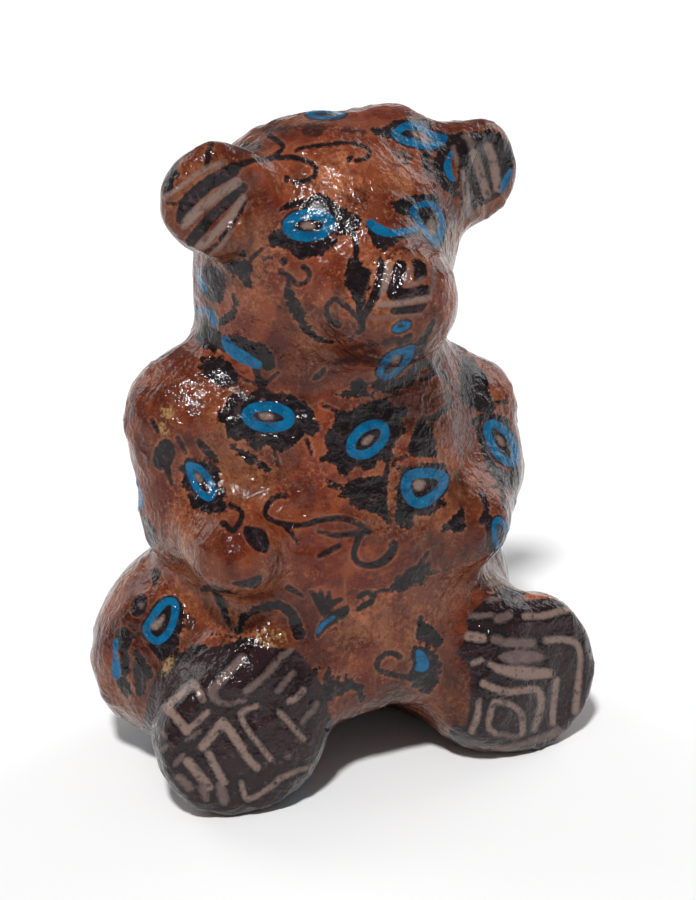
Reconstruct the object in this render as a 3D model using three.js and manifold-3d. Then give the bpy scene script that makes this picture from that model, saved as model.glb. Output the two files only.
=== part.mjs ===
// A seated papier-mache bear, as one closed solid with a flat underside.
// Millimetres, +Z up. The bear looks along -Y, its left side is +X, and the origin is under it on the ground.
// The form is one skin drawn round a set of overlapping rounded masses, the way paper layers bridge
// the joints of a moulded figure: each mass is a formula, and neighbours melt together over a stated fillet.
// It was shaped by hand, so some sizes differ from the bear's right side to its left.
import * as THREE from "three";
import { mergeVertices } from "three/addons/utils/BufferGeometryUtils.js";
import Module from "manifold-3d";

// Trunk: a tall belly, with a lower mass across the shoulders
const trunkWidth = 84;
const trunkDepth = 78;
const trunkHeight = 118;
const trunkRise = 60; // height of its middle, as every rise here
const shoulderWidth = 78;
const shoulderDepth = 55;
const shoulderThickness = 50;
const shoulderRise = 98;
const shoulderBack = 2; // behind the trunk's middle

// Head: a skull over a broad jowl, with a short muzzle and two cupped ears
const headWidth = 70;
const headDepth = 64;
const headHeight = 63;
const headRise = 142;
const headForward = 3;
const headTurn = 4; // degrees, to the bear's left
const headTilt = 5; // degrees, towards the bear's left shoulder
const jowlWidth = 60;
const jowlDepth = 60;
const jowlHeight = 46;
const jowlDrop = 20;
const jowlBack = 3; // behind the head's middle
const muzzleWidth = 39;
const muzzleHeight = 33;
const muzzleReach = 33; // from the head's middle to the middle of its round end
const muzzleDrop = 8;
const bridgeDrop = 6; // where the muzzle starts, below the head's middle
const earDiameter = 27;
const earThickness = 10;
const earSpread = { right: 38.5, left: 38.5 };
const earRoot = { right: 14, left: 31 }; // thickness of the swelling that carries the ear
const earForward = 9;
const earRootForward = 2; // where that swelling starts, in the skull
const earRootLift = 1; // above the ear's middle
const earDrop = { right: 17.5, left: 14.5 }; // the ear's middle, below the crown
const earCup = 0.66; // the hollow's share of the ear's diameter

// Arms, from shoulder over elbow to hand
const armSpread = { right: 37, left: 41 };
const armTop = { right: 97, left: 85 };
const elbowOut = { right: -1, left: 2 }; // beyond the shoulder, to the side
const elbowForward = 2;
const elbowRise = { right: 74, left: 70 };
const handRise = { right: 70, left: 66 };
const handSpread = { right: 38, left: 29 };
const handReach = 28;
const upperArmThickness = 34;
const forearmThickness = 28;
const handThickness = 22;

// Legs, from hip over ankle to sole
const hipSpread = { right: 32, left: 31 };
const hipRise = 29;
const hipBack = 6;
const thighThickness = 60;
const ankleSpread = { right: 31, left: 32 };
const ankleThickness = 36;
const ankleOverlap = 2; // how far the ankle runs into the sole
const soleWidth = { right: 42, left: 42 };
const soleHeight = { right: 41, left: 43 };
const soleThickness = 16;
const soleEdge = 5; // radius of the sole's rounded edge
const soleSpread = { right: 39, left: 45 };
const soleReach = { right: 36, left: 39 };
const soleSink = 1.2; // how much of the sole's round is cut flat by the ground

// Lap: the web of paper that joins the legs in front, and the seat behind it
const lapWidth = 60;
const lapThickness = 34;
const lapRise = 33;
const lapForward = 20;
const seatWidth = 84;
const seatDepth = 54;
const seatHeight = 52;
const seatRise = 22;
const seatBack = 15;

// Arch: the room under the lap, between the legs and in front of the seat
const archWidth = 44;
const archDepth = 88;
const archHeight = 17;
const archForward = 30;
const archAside = 2; // off the middle, to the bear's left
const archSink = 4; // how far its middle lies below the ground

// Fillets, the distances over which neighbours melt together
const neckFillet = 9;
const trunkFillet = 14;
const armFillet = 10;
const elbowFillet = 8;
const legFillet = 7;
const faceFillet = 8;
const earFillet = 10;
const rimFillet = 2;
const archFillet = 5;

// Skin
const cell = 4.3; // spacing of the grid that the skin is drawn on

const sides = [-1, 1];
const nameOf = (side) => (side < 0 ? "right" : "left");
const degree = Math.PI / 180;
const vec = (x, y, z) => new THREE.Vector3(x, y, z);

// How far a point is outside an ellipsoid, in millimetres, and negative inside.
function ellipsoid(centre, width, depth, height, turn = new THREE.Euler()) {
  const half = vec(width / 2, depth / 2, height / 2);
  const back = new THREE.Quaternion().setFromEuler(turn).invert();
  return (point) => {
    const local = point.clone().sub(centre).applyQuaternion(back);
    const share = local.clone().divide(half);
    const slope = share.clone().divide(half).length();
    const ratio = share.length();
    return slope < 1e-9 ? -Math.min(half.x, half.y, half.z) : (ratio * (ratio - 1)) / slope;
  };
}

// How far a point is outside a limb that runs from one round end to another.
function limb(start, end, startThickness, endThickness) {
  const along = end.clone().sub(start);
  return (point) => {
    const offset = point.clone().sub(start);
    const share = THREE.MathUtils.clamp(offset.dot(along) / along.lengthSq(), 0, 1);
    const radius = THREE.MathUtils.lerp(startThickness, endThickness, share) / 2;
    return offset.addScaledVector(along, -share).length() - radius;
  };
}

// How far a point is outside a round-edged disc whose face looks along `facing`.
function disc(centre, facing, width, height, thickness, edge) {
  const turn = new THREE.Quaternion().setFromUnitVectors(vec(0, -1, 0), facing.clone().normalize()).invert();
  return (point) => {
    const local = point.clone().sub(centre).applyQuaternion(turn);
    const out = Math.hypot(local.x, (local.z * width) / height) - width / 2 + edge;
    const deep = Math.abs(local.y) - thickness / 2 + edge;
    return Math.min(Math.max(out, deep), 0) + Math.hypot(Math.max(out, 0), Math.max(deep, 0)) - edge;
  };
}

// Two masses that melt together over a fillet.
const melt = (a, b, fillet) => (point) => {
  const near = a(point);
  const far = b(point);
  const share = Math.max(fillet - Math.abs(near - far), 0) / fillet;
  return Math.min(near, far) - (share * share * fillet) / 4;
};

// A mass with another pressed out of it, over a fillet.
const press = (a, b, fillet) => {
  const left = melt((point) => -a(point), b, fillet);
  return (point) => -left(point);
};

function trunk() {
  const belly = ellipsoid(vec(0, 0, trunkRise), trunkWidth, trunkDepth, trunkHeight);
  const ridge = vec(0, shoulderBack, shoulderRise);
  const shoulders = ellipsoid(ridge, shoulderWidth, shoulderDepth, shoulderThickness);
  return melt(belly, shoulders, trunkFillet);
}

function head() {
  const turn = new THREE.Euler(0, headTilt * degree, headTurn * degree);
  const centre = vec(0, -headForward, headRise);
  const place = (x, y, z) => vec(x, y, z).applyEuler(turn).add(centre);
  const skull = ellipsoid(centre, headWidth, headDepth, headHeight, turn);
  const jowl = ellipsoid(place(0, jowlBack, -jowlDrop), jowlWidth, jowlDepth, jowlHeight, turn);
  const bridge = place(0, -headDepth / 4, -bridgeDrop);
  const nose = place(0, -muzzleReach, -muzzleDrop);
  const muzzle = limb(bridge, nose, muzzleWidth, muzzleHeight);
  let form = melt(melt(skull, jowl, neckFillet), muzzle, faceFillet);
  for (const side of sides) form = addEar(form, side, turn, place);
  return form;
}

// One ear: a disc on a swelling of the skull, with a shallow hollow in its face.
function addEar(form, side, turn, place) {
  const facing = vec(side * 0.35, -1, 0.1).applyEuler(turn).normalize();
  const name = nameOf(side);
  const rise = headHeight / 2 - earDrop[name];
  const seat = place(side * earSpread[name], -earForward, rise);
  const start = place(side * headWidth * 0.26, -earRootForward, rise + earRootLift);
  const root = limb(start, seat, earRoot[name], earThickness);
  const ear = disc(seat, facing, earDiameter, earDiameter, earThickness, earThickness * 0.45);
  const cup = earDiameter * earCup;
  const mouth = seat.clone().addScaledVector(facing, earThickness * 0.75);
  const hollow = ellipsoid(mouth, cup, earThickness * 0.8, cup, turn);
  return press(melt(melt(form, root, legFillet), ear, earFillet), hollow, rimFillet);
}

function arm(side) {
  const name = nameOf(side);
  const shoulder = vec(side * armSpread[name], shoulderBack, armTop[name]);
  const elbow = vec(side * (armSpread[name] + elbowOut[name]), -elbowForward, elbowRise[name]);
  const hand = vec(side * handSpread[name], -handReach, handRise[name]);
  const upper = limb(shoulder, elbow, upperArmThickness, forearmThickness);
  const lower = limb(elbow, hand, forearmThickness, handThickness);
  return melt(upper, lower, elbowFillet);
}

function leg(side) {
  const name = nameOf(side);
  const reach = soleReach[name];
  const height = soleHeight[name];
  const hip = vec(side * hipSpread[name], hipBack, hipRise);
  const ankle = vec(side * ankleSpread[name], soleThickness - ankleOverlap - reach, ankleThickness / 2);
  const sole = vec(side * soleSpread[name], soleThickness / 2 - reach, height / 2 - soleSink);
  const facing = vec(side * 0.12, -1, 0.12);
  const foot = disc(sole, facing, soleWidth[name], height, soleThickness, soleEdge);
  return melt(limb(hip, ankle, thighThickness, ankleThickness), foot, legFillet);
}

function lap() {
  const right = vec(-lapWidth / 2, -lapForward, lapRise);
  const left = vec(lapWidth / 2, -lapForward, lapRise);
  const web = limb(right, left, lapThickness, lapThickness);
  const seat = ellipsoid(vec(0, seatBack, seatRise), seatWidth, seatDepth, seatHeight);
  return melt(web, seat, elbowFillet);
}

function arch() {
  const centre = vec(archAside, -archForward, -archSink);
  return ellipsoid(centre, archWidth, archDepth, 2 * (archHeight + archSink));
}

function bear() {
  let form = melt(trunk(), lap(), elbowFillet);
  for (const side of sides) form = melt(form, leg(side), legFillet);
  form = press(form, arch(), archFillet);
  for (const side of sides) form = melt(form, arm(side), armFillet);
  return melt(form, head(), neckFillet);
}

// The skin of a mass where its formula is zero: one vertex in each grid cell that the skin passes through,
// moved onto the skin, and a four-sided patch across each grid edge that it cuts.
function skin(form, low, high) {
  const count = high.clone().sub(low).divideScalar(cell).ceil().addScalar(1);
  const at = (i, j, k) => i + count.x * (j + count.y * k);
  const depth = new Float64Array(count.x * count.y * count.z);
  const eachNode = (first, last, visit) => {
    for (let k = first; k < count.z - last; k++)
      for (let j = first; j < count.y - last; j++)
        for (let i = first; i < count.x - last; i++) visit(i, j, k);
  };
  eachNode(0, 0, (i, j, k) => {
    depth[at(i, j, k)] = form(vec(i, j, k).multiplyScalar(cell).add(low));
  });

  const corners = [];
  for (let c = 0; c < 8; c++) corners.push([c & 1, (c >> 1) & 1, c >> 2]);
  const edges = [];
  for (const [a, from] of corners.entries())
    for (const axis of [0, 1, 2]) if (!from[axis]) edges.push([a, a | (1 << axis)]);
  const vertexOf = new Map();
  const positions = [];
  eachNode(0, 1, (i, j, k) => {
    const value = corners.map(([x, y, z]) => depth[at(i + x, j + y, k + z)]);
    const sum = vec(0, 0, 0);
    let crossings = 0;
    for (const [a, b] of edges) {
      if (value[a] < 0 === value[b] < 0) continue;
      const share = value[a] / (value[a] - value[b]);
      sum.add(vec(...corners[a]).lerp(vec(...corners[b]), share));
      crossings++;
    }
    if (!crossings) return;
    const vertex = sum.divideScalar(crossings).add(vec(i, j, k)).multiplyScalar(cell).add(low);
    settle(form, vertex);
    vertexOf.set(at(i, j, k), positions.length / 3);
    positions.push(...vertex);
  });

  const steps = [vec(1, 0, 0), vec(0, 1, 0), vec(0, 0, 1)];
  const faces = [];
  eachNode(1, 1, (i, j, k) => {
    const here = depth[at(i, j, k)] < 0;
    for (const axis of [0, 1, 2]) {
      const next = steps[axis];
      if (here === depth[at(i + next.x, j + next.y, k + next.z)] < 0) continue;
      const u = steps[(axis + 1) % 3];
      const v = steps[(axis + 2) % 3];
      const cellAt = (m, n) => {
        const behind = vec(i, j, k).addScaledVector(u, -m).addScaledVector(v, -n);
        return vertexOf.get(at(behind.x, behind.y, behind.z));
      };
      const [a, b, c, d] = [cellAt(1, 1), cellAt(0, 1), cellAt(0, 0), cellAt(1, 0)];
      if (here) faces.push(a, b, c, a, c, d);
      else faces.push(a, c, b, a, d, c);
    }
  });
  return new THREE.BufferGeometry()
    .setAttribute("position", new THREE.Float32BufferAttribute(positions, 3))
    .setIndex(faces);
}

// Moves a point along the slope of a mass towards the skin, by at most a third of a cell at a time.
function settle(form, point) {
  const h = 0.05;
  for (let pass = 0; pass < 2; pass++) {
    const value = form(point);
    const slope = vec(
      form(point.clone().add(vec(h, 0, 0))) - value,
      form(point.clone().add(vec(0, h, 0))) - value,
      form(point.clone().add(vec(0, 0, h))) - value,
    ).divideScalar(h);
    const step = THREE.MathUtils.clamp(value / Math.max(slope.lengthSq(), 0.25), -cell / 3, cell / 3);
    const next = point.clone().addScaledVector(slope, -step);
    if (Math.abs(form(next)) < Math.abs(value)) point.copy(next);
  }
}

const wasm = await Module();
wasm.setup();

function solidOf(geometry) {
  const bare = geometry.index ? geometry.toNonIndexed() : geometry.clone();
  bare.deleteAttribute("normal");
  bare.deleteAttribute("uv");
  const merged = mergeVertices(bare);
  const vertProperties = merged.getAttribute("position").array;
  const triVerts = new Uint32Array(merged.index.array);
  return new wasm.Manifold(new wasm.Mesh({ numProp: 3, vertProperties, triVerts }));
}

function geometryOf(solid) {
  const mesh = solid.getMesh();
  return new THREE.BufferGeometry()
    .setAttribute("position", new THREE.BufferAttribute(mesh.vertProperties, 3))
    .setIndex(new THREE.BufferAttribute(mesh.triVerts, 1));
}

// Everything below the ground is cut away, so that the figure sits flat.
function cutFlat(geometry) {
  const size = 1000;
  const room = new THREE.BoxGeometry(size, size, size).translate(0, 0, size / 2);
  return geometryOf(solidOf(geometry).intersect(solidOf(room)));
}

// The grid reaches past every mass: across by the widest spread and the forward reach, and up past the ears.
const margin = 3 * cell;
const widest = (sizes) => Math.max(sizes.right, sizes.left);
const across = widest(soleSpread) + widest(soleWidth) + margin;
const forward = Math.max(trunkDepth, headDepth + muzzleReach) + margin;
const above = headRise + Math.max(headHeight, headHeight / 2 + earDiameter) + margin;
const figure = cutFlat(skin(bear(), vec(-across, -forward, -margin * 2), vec(across, forward, above)));
figure.computeBoundingBox();
const middle = figure.boundingBox.getCenter(vec(0, 0, 0));
figure.translate(-middle.x, -middle.y, 0);

const paper = new THREE.MeshStandardMaterial({ color: 0x7d4632, roughness: 0.35, metalness: 0 });
const mesh = new THREE.Mesh(figure, paper);
mesh.name = "bear";

const group = new THREE.Group();
group.add(mesh);
export default group;
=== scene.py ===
import math

import bmesh
import bpy
import numpy as np
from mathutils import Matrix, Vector, noise
from mathutils.bvhtree import BVHTree


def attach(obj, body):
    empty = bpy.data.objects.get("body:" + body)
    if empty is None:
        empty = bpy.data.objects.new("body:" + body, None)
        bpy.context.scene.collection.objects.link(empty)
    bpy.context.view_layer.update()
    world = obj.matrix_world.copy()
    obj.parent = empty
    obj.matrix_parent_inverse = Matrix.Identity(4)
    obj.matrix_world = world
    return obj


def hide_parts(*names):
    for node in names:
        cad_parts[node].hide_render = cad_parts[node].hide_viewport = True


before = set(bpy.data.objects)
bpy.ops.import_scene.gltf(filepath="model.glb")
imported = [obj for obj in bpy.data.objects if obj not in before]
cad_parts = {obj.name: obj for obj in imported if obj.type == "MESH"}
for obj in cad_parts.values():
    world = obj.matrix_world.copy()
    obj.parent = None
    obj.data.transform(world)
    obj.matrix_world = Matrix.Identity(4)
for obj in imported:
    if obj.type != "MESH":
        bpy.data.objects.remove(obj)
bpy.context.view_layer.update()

# A seated papier-mache bear, covered in torn scraps of printed paper under thick varnish.
# Metres, +Z up, the bear looks along -Y. Its print is laid out as the photograph shows it: a mark is given in
# the picture's pixels, seen through the camera below, and becomes a distance stored on the skin's points.

mm = 0.001

photo = {
    "width": 696,
    "height": 900,
    "azimuth": -27,  # degrees, round the bear
    "elevation": 21,  # degrees, above the ground
    "distance": 0.7,  # from the aim
    "aim": Vector((0, 0, 0.08)),
    "aimAcross": 337,  # the picture's pixel where the aim shows
    "aimDown": 462,
    "pixelsPerMetre": 3790,  # at the aim
}


# The direction from the bear to a place at an azimuth and an elevation, in degrees.
def directionTo(azimuth, elevation):
    turn, lift = math.radians(azimuth), math.radians(elevation)
    return Vector((math.sin(turn) * math.cos(lift), -math.cos(turn) * math.cos(lift), math.sin(lift)))


def viewAxes():
    turn = math.radians(photo["azimuth"])
    back = directionTo(photo["azimuth"], photo["elevation"])
    right = Vector((math.cos(turn), math.sin(turn), 0))
    return right, back.cross(right), back


rightAxis, upAxis, backAxis = viewAxes()
middleAcross, middleDown = photo["width"] / 2, photo["height"] / 2
aimShift = (
    rightAxis * (middleAcross - photo["aimAcross"]) / photo["pixelsPerMetre"]
    + upAxis * (photo["aimDown"] - middleDown) / photo["pixelsPerMetre"]
)
eye = photo["aim"] + aimShift + backAxis * photo["distance"]
focalPixels = photo["pixelsPerMetre"] * photo["distance"]
pixel = 1 / photo["pixelsPerMetre"]  # metres on the bear that one pixel of the picture covers


def addCamera():
    lens = bpy.data.cameras.new("camera")
    lens.sensor_width = 36
    lens.lens = focalPixels / photo["height"] * lens.sensor_width
    lens.clip_start, lens.clip_end = 0.01, 100
    camera = bpy.data.objects.new("camera", lens)
    camera.location = eye
    camera.rotation_mode = "QUATERNION"
    camera.rotation_quaternion = (-backAxis).to_track_quat("-Z", "Y")
    bpy.context.scene.collection.objects.link(camera)
    bpy.context.scene.camera = camera


# Where points of the bear show in the picture, as pixels across and down.
def pictureOf(points):
    seen = points - np.array(eye)
    depth = -(seen @ np.array(backAxis))
    across = middleAcross + focalPixels * (seen @ np.array(rightAxis)) / depth
    down = middleDown - focalPixels * (seen @ np.array(upAxis)) / depth
    return np.stack([across, down], axis=1)


addCamera()
print("camera in place")

skin = {
    "grid": 0.96 * mm,  # size of a face
    "smoothing": 19,  # rounds that take the solid's facets out
    "lump": 0.8 * mm,  # low bumps of the paper pulp
    "lumpSize": 17 * mm,
    "dent": 0.42 * mm,
    "dentSize": 6.5 * mm,
    "wrinkle": 0.34 * mm,  # ridges where the wet paper creased
    "wrinkleSize": 9 * mm,
    "wrinkleFrom": 0.8,  # how near the crest of the noise a ridge starts
    "wrinklePatch": 15 * mm,  # size of the patches that have ridges
    "scrapSpacing": 19 * mm,  # from one torn scrap to the next
    "scrapStep": 0.24 * mm,  # where one scrap laps over another
    "scrapFade": 3.5 * mm,
    "scrapStretch": 0.55,  # how much longer than wide a scrap is
    "lappedFrom": 0.45,  # scraps ranked above this lap over the rest
    "edgeBend": 2.2 * mm,  # how far a torn edge wanders
    "edgeBendSize": 11 * mm,
    "spraySpacing": 20 * mm,
    "sprayReach": 24 * mm,
    "sprayScale": (0.95, 1.1),
    "seenRounds": 6,  # rounds that even out where the picture shows the skin
    "seenShare": 0.45,
    "rayStart": 1.2 * mm,  # clear of the solid's facets
    "groundBand": 0.15 * mm,  # what is lower stays flat on the ground
    "thinPenalty": 0.02,  # keeps a scrap on its own side of an ear
}


def bareSkin():
    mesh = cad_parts["bear"].data.copy()
    form = bmesh.new()
    form.from_mesh(mesh)
    bmesh.ops.remove_doubles(form, verts=form.verts, dist=1e-6)
    form.to_mesh(mesh)
    form.free()
    piece = bpy.data.objects.new("bear_skin", mesh)
    bpy.context.scene.collection.objects.link(piece)
    grid = piece.modifiers.new("fine grid", "REMESH")
    grid.mode = "VOXEL"
    grid.voxel_size = skin["grid"]
    dressed = piece.evaluated_get(bpy.context.evaluated_depsgraph_get())
    fine = bpy.data.meshes.new_from_object(dressed)
    piece.modifiers.clear()
    piece.data = fine
    fine.name = "bear_skin"
    return piece


def pointsOf(mesh):
    flat = np.zeros(len(mesh.vertices) * 3, np.float32)
    mesh.vertices.foreach_get("co", flat)
    return flat.reshape(-1, 3).astype(float)


def placePoints(mesh, points):
    mesh.vertices.foreach_set("co", points.astype(np.float32).ravel())
    mesh.update()


def normalsOf(mesh):
    flat = np.zeros(len(mesh.vertices) * 3, np.float32)
    mesh.vertices.foreach_get("normal", flat)
    return flat.reshape(-1, 3).astype(float)


def edgesOf(mesh):
    flat = np.zeros(len(mesh.edges) * 2, np.int32)
    mesh.edges.foreach_get("vertices", flat)
    return flat.reshape(-1, 2)


# Mean of each point's neighbours, of any values kept per point.
def neighbourMean(values, edges):
    count = np.bincount(edges.ravel(), minlength=len(values))
    total = np.zeros_like(values)
    for column in range(values.shape[1]):
        near = np.bincount(edges[:, 0], values[edges[:, 1], column], len(values))
        near += np.bincount(edges[:, 1], values[edges[:, 0], column], len(values))
        total[:, column] = near / count
    return total


# Rounds off the facets and swells back by as much, so that the form keeps its size.
def smoothed(points, edges, rounds):
    for _ in range(rounds):
        points = points + 0.6 * (neighbourMean(points, edges) - points)
        points = points - 0.62 * (neighbourMean(points, edges) - points)
    return points


# Soft random values, one per point, from -1 to 1 over about the given size.
def clouds(points, size, seed):
    spread = points / size + seed * 17.3
    return np.array([noise.noise(place) for place in spread.tolist()])


# A spread of points over the skin, none nearer to another than the spacing.
def scatter(points, spacing, seed, among):
    order = np.random.default_rng(seed).permutation(np.flatnonzero(among))
    free = np.ones(len(points), bool)
    chosen = []
    for index in order:
        if free[index]:
            chosen.append(index)
            free &= np.linalg.norm(points - points[index], axis=1) > spacing
    return chosen


# Which scrap of paper each point lies on, and how far it is from that scrap's torn edge.
def tearScraps(points, normals, seed=4):
    bends = [clouds(points, skin["edgeBendSize"], seed + axis) for axis in range(3)]
    bend = np.stack(bends, axis=1)
    bent = points + bend * skin["edgeBend"]
    chance = np.random.default_rng(seed)
    centres = scatter(points, skin["scrapSpacing"], seed, np.ones(len(points), bool))
    nearest = np.full(len(points), 1.0)
    second = np.full(len(points), 1.0)
    scrap = np.zeros(len(points), int)
    for number, centre in enumerate(centres):
        along = chance.normal(size=3)
        along /= np.linalg.norm(along)
        offset = bent - points[centre]
        run = offset @ along
        away = np.sqrt(np.maximum((offset**2).sum(1) - skin["scrapStretch"] * run**2, 0))
        away += skin["thinPenalty"] * np.maximum(0.3 - normals @ normals[centre], 0)
        closer = away < nearest
        second = np.where(closer, nearest, np.minimum(second, away))
        nearest = np.where(closer, away, nearest)
        scrap[closer] = number
    return scrap, (second - nearest) / 2, chance.random(len(centres))


print("skin settings ready")


# Marks of the print. A mark holds the field that it belongs to and its outline, in pixels:
# ink: dark lines, blot: ragged dark foliage, blue: rings, pale: light lines on dark, faded: dim ones,
# bare: the under-paper showing. Points of a line may hold a third number, its width there.
def line(field, width, *points, tooth=0):
    full = [(*point, width)[:3] for point in points]
    return {"field": field, "points": full, "closed": False, "tooth": tooth}


def shape(field, *points):
    return {"field": field, "points": list(points), "closed": True}


def oval(field, across, down, width, height, turn=0, petals=0, depth=0.25):
    points = []
    steps = 16 if not petals else petals * 4
    tilt = math.radians(turn)
    for step in range(steps):
        angle = 2 * math.pi * step / steps
        reach = 1 - depth * (1 - abs(math.cos(petals * angle / 2))) if petals else 1
        x, y = math.cos(angle) * width / 2 * reach, math.sin(angle) * height / 2 * reach
        points.append(
            (across + x * math.cos(tilt) - y * math.sin(tilt), down + x * math.sin(tilt) + y * math.cos(tilt))
        )
    return {"field": field, "points": points, "closed": True, "sharp": bool(petals)}


# A blue ring: a band inside its outline, dark within and just round it.
def ring(outline, band, rim=1.8):
    return {**outline, "field": "blue", "band": band, "rim": rim}


crownPrint = {
    "crownRing": ring(oval("blue", 326, 114, 40, 9), 3),
    "crownBlotch": oval("faint", 314, 131, 26, 13),
    "crownSmear": line("faint", 5, (343, 129), (364, 133)),
    "crownShade": oval("faint", 250, 146, 27, 10),
    "crownStreak": line("faint", 4, (265, 131), (285, 127), (303, 126)),
}

browPrint = {
    "browTendril": line(
        "ink", 5, (240, 164), (254, 162), (268, 160), (279, 153), (283, 147), (277, 141), (268, 135),
    ),
    "browTendrilBud": oval("ink", 243, 164, 9, 6),
    "browLoop": line(
        "ink", 5, (268, 160), (290, 158), (305, 160), (316, 166), (314, 175), (305, 181), (294, 182),
    ),
    "browLoopBud": oval("ink", 287, 179, 8, 7),
    "topCurl": line(
        "ink", 4, (296, 152), (309, 147), (328, 145), (353, 144), (366, 148), (370, 152), (365, 160),
        (355, 162),
    ),
    "topCurlBud": oval("ink", 349, 160, 8, 6),
    "dashOnBrow": oval("ink", 350, 159, 6, 4),
}

leftEarPrint = {
    "rimLeaf": shape(
        "blot", (181, 152), (172, 159), (164, 173), (161, 189), (165, 199), (174, 189), (173, 180),
        (181, 177), (176, 169), (178, 162), (184, 154),
    ),
    "rimStroke": line("ink", 5, (212, 143), (209, 152), (206, 165)),
    "earTopLine": line("pale", 4.5, (163, 198), (180, 187), (201, 171), (222, 162)),
    "earStripeOne": line("ink", 14, (181, 219, 9), (187, 203), (207, 184), (233, 169)),
    "earPaleOne": line("pale", 10, (184, 226, 6), (189, 219), (207, 202), (237, 181)),
    "earStripeTwo": line("ink", 11, (191, 241), (211, 217), (242, 187)),
    "earPaleTwo": line("pale", 8.5, (200, 246), (223, 225), (244, 197, 6)),
    "earStripeThree": line("ink", 4.5, (221, 238), (237, 220), (245, 200)),
    "earPaleRim": line("pale", 3.5, (192, 249), (206, 256), (219, 248), (232, 230)),
    "earStripeFour": line("ink", 3.5, (205, 252), (221, 241)),
    "earEdge": line("ink", 3, (166, 203), (176, 204), (186, 197)),
}

rightEarPrint = {
    "earField": shape(
        "blot", (450, 135), (475, 131), (491, 129), (506, 138), (513, 151), (513, 164), (505, 189),
        (500, 196), (476, 210), (469, 221), (461, 202), (459, 183), (455, 151),
    ),
    "earPaleInner": line("faded", 5, (453, 148), (457, 164)),
    "earPaleTop": line("faded", 8, (467, 136), (473, 145)),
    "earPaleLong": line("pale", 8, (463, 171, 5), (467, 195), (471, 216, 6)),
    "earPaleMiddle": line("pale", 9, (475, 153), (481, 176), (487, 195)),
    "earPaleOuter": line("pale", 9, (489, 147), (494, 164), (498, 188)),
    "earBlueRim": line("blue", 7, (510, 170, 4), (507, 179), (502, 192, 4)),
    "topRing": ring(shape(
        "blue", (391, 132), (405, 123), (423, 125), (430, 131), (448, 136), (443, 144), (429, 151),
        (411, 147), (396, 141),
    ), 7.5),
    "topRingDot": oval("pale", 421, 138, 17, 8, 40),
    "topRingShade": shape(
        "blot", (370, 131), (385, 126), (398, 120), (425, 120), (432, 128), (410, 122), (390, 130),
        (393, 139), (380, 138),
    ),
    "sideSmear": oval("faint", 402, 155, 24, 11, 15),
    "sideDash": oval("ink", 405, 163, 9, 5),
    "sideWedge": shape("ink", (419, 157), (428, 155), (430, 181), (424, 170)),
    "sideBar": line("blue", 7, (452, 152, 4), (447, 164), (450, 176), (454, 180, 4)),
    "sideBarShade": line("blot", 13, (447, 147), (439, 163), (441, 180), (455, 190)),
}

eyePrint = {
    "eyeRing": ring(oval("blue", 309, 225, 54, 33, -6), 11),
    "eyeDot": oval("pale", 308, 225.5, 15, 7.5),
    "eyeHole": oval("hole", 308.5, 225.5, 28, 12.5),
    "eyeShadeTop": shape(
        "blot", (279, 212), (288, 203), (302, 198), (318, 192), (330, 196), (341, 205), (356, 215),
        (364, 222), (345, 236), (332, 225), (310, 206),
    ),
    "eyeShadeBottom": shape(
        "blot", (268, 246), (272, 232), (283, 226), (290, 238), (310, 243), (330, 237), (338, 240),
        (329, 252), (313, 256), (300, 260), (290, 250), (279, 248),
    ),
    "farEyeRing": ring(shape(
        "blue", (411, 207), (423, 201), (434, 203), (442, 212), (445, 222), (444, 234), (440, 247),
        (429, 238), (419, 225), (411, 215),
    ), 6.5),
    "farEyeDot": oval("pale", 433, 227, 17, 8.5, 72),
    "farEyeShade": shape(
        "blot", (392, 203), (410, 198), (430, 194), (440, 202), (430, 206), (414, 208), (410, 217),
        (398, 213),
    ),
    "crescent": line("blue", 8.5, (370, 223), (379, 230, 11), (392, 234), (405, 231, 6), (417, 228, 5)),
    "crescentShade": shape(
        "blot", (366, 224), (370, 238), (376, 247), (384, 253), (393, 247), (402, 240), (419, 236),
        (418, 228), (395, 231), (380, 226),
    ),
    "noseStroke": line("ink", 6, (341, 226, 4), (352, 232), (356, 243), (356, 256)),
    "noseShade": shape(
        "blot", (350, 256), (359, 258), (364, 268), (372, 270), (370, 284), (366, 298), (361, 316),
        (357, 316), (354, 302), (349, 290), (345, 277), (347, 266),
    ),
}

cheekPrint = {
    "earLeaf": shape(
        "blot", (228, 260), (233, 264), (234, 257), (239, 263), (243, 250), (247, 260), (251, 256),
        (252, 266), (251, 279), (249, 288), (240, 279), (232, 271),
    ),
    "earLeafTip": line("ink", 4, (252, 258), (262, 249)),
    "cheekDash": line("ink", 4, (264, 259), (272, 257)),
    "cheekBud": oval("ink", 284, 261, 9, 8),
    "cheekCurl": line(
        "ink", 4.5, (279, 271), (288, 274), (293, 279), (299, 284), (308, 280), (310, 272), (304, 267, 6),
    ),
    "cheekStem": line("ink", 4, (288, 274), (289, 289)),
    "cheekLeaf": line(
        "blot", 12, (286, 286, 5), (292, 298), (298, 313), (303, 325, 9), (314, 337, 7), (327, 342, 4),
        (341, 341, 3.5), (354, 337, 4), (361, 329, 6), tooth=8,
    ),
    "noseEdge": line(
        "ink", 7, (362, 328), (363, 317), (371, 304, 9), (378, 289, 11), (382, 271, 10), (380, 260, 6),
    ),
    "noseCrack": line("bare", 2.4, (380, 260), (372, 275), (366, 292), (359, 311)),
    "muzzleCurl": line(
        "ink", 5, (360, 320), (353, 313), (344, 304), (335, 299), (329, 304), (327, 313), (332, 320),
        (339, 324, 7),
    ),
}

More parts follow.
